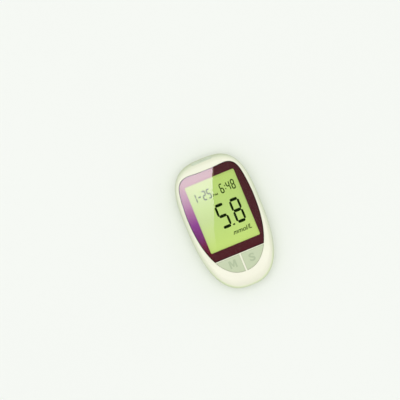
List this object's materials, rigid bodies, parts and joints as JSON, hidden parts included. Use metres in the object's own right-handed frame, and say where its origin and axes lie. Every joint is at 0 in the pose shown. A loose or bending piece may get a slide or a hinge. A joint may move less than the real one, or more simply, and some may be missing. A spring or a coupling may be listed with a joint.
{
  "type": "blood glucose meter",
  "caption": "Hand-held blood glucose meter: egg-shaped two-shell case, large bordered display, two keys, strip port with ejector, battery door.",
  "frame": {"origin": "under the middle of the case, on the flat of the rear cover", "axes": "+X to the right of the display, +Y along the case towards the strip port, +Z out of the display's face"},
  "size_m": [0.0562, 0.0962, 0.0209],
  "materials": {
    "case_cream": "satin moulded ABS",
    "case_green": "satin moulded ABS",
    "lens": "clear acrylic, polished",
    "maroon_print": "printed film",
    "tape": "foam tape",
    "lcd_face": "polariser over a green backlight",
    "lcd_glass": "thin display glass",
    "lcd_film": "polariser film",
    "light_guide": "moulded acrylic",
    "white_plastic": "moulded",
    "zebra_rubber": "silicone connector strip",
    "led": "encapsulated",
    "board": "solder mask over glass fibre board",
    "chip": "moulded package",
    "ceramic": "ceramic",
    "black_plastic": "moulded",
    "key_green": "satin moulded",
    "gold_contact": "gold plated",
    "port_grey": "moulded",
    "cell": null,
    "bright_metal": "nickel plated"
  },
  "bodies": {
    "case": {"front_cover": "case_cream", "rear_cover": "case_green", "display_lens": "lens", "lens_mask": "maroon_print", "lens_tape": "tape", "front_polariser": "lcd_face", "lcd_front_glass": "lcd_glass", "lcd_rear_glass": "lcd_glass", "rear_polariser": "lcd_film", "light_guide": "light_guide", "reflector_sheet": "white_plastic", "lcd_frame": "white_plastic", "zebra_strip": "zebra_rubber", "backlight_leds": "led", "circuit_board": "board", "processor_chip": "chip", "memory_chip": "chip", "analog_chip": "chip", "crystal": "bright_metal", "board_components": "ceramic", "buzzer": "chip", "key_switches": "bright_metal", "strip_connector": "black_plastic", "strip_contacts": "gold_contact", "strip_port": "port_grey", "ejector_spring": "bright_metal", "left_cell": "cell", "right_cell": "cell", "cell_springs": "bright_metal", "cell_contacts": "bright_metal", "board_screws": "bright_metal", "case_screws": "bright_metal"},
    "left_key": {"left_button": "key_green", "left_plunger": "black_plastic"},
    "right_key": {"right_button": "key_green", "right_plunger": "black_plastic"},
    "ejector": {"eject_slider": "key_green", "ejector_arm": "white_plastic"},
    "door": {"battery_door": "case_green"}
  },
  "joints": [
    {"name": "left_key_press", "type": "slide", "parent": "case", "child": "left_key", "axis": [0, 0, -1], "range_m": [0, 0.0005], "stiffness_N_per_m": 2400, "springref_m": -0.0001},
    {"name": "right_key_press", "type": "slide", "parent": "case", "child": "right_key", "axis": [0, 0, -1], "range_m": [0, 0.0005], "stiffness_N_per_m": 2400, "springref_m": -0.0001},
    {"name": "eject_slide", "type": "slide", "parent": "case", "child": "ejector", "axis": [0, 1, 0], "range_m": [0, 0.006], "stiffness_N_per_m": 120, "springref_m": -0.002, "deforming": ["ejector_spring"]},
    {"name": "battery_door_slide", "type": "slide", "parent": "case", "child": "door", "axis": [0, -1, 0], "range_m": [0, 0.05]}
  ]
}
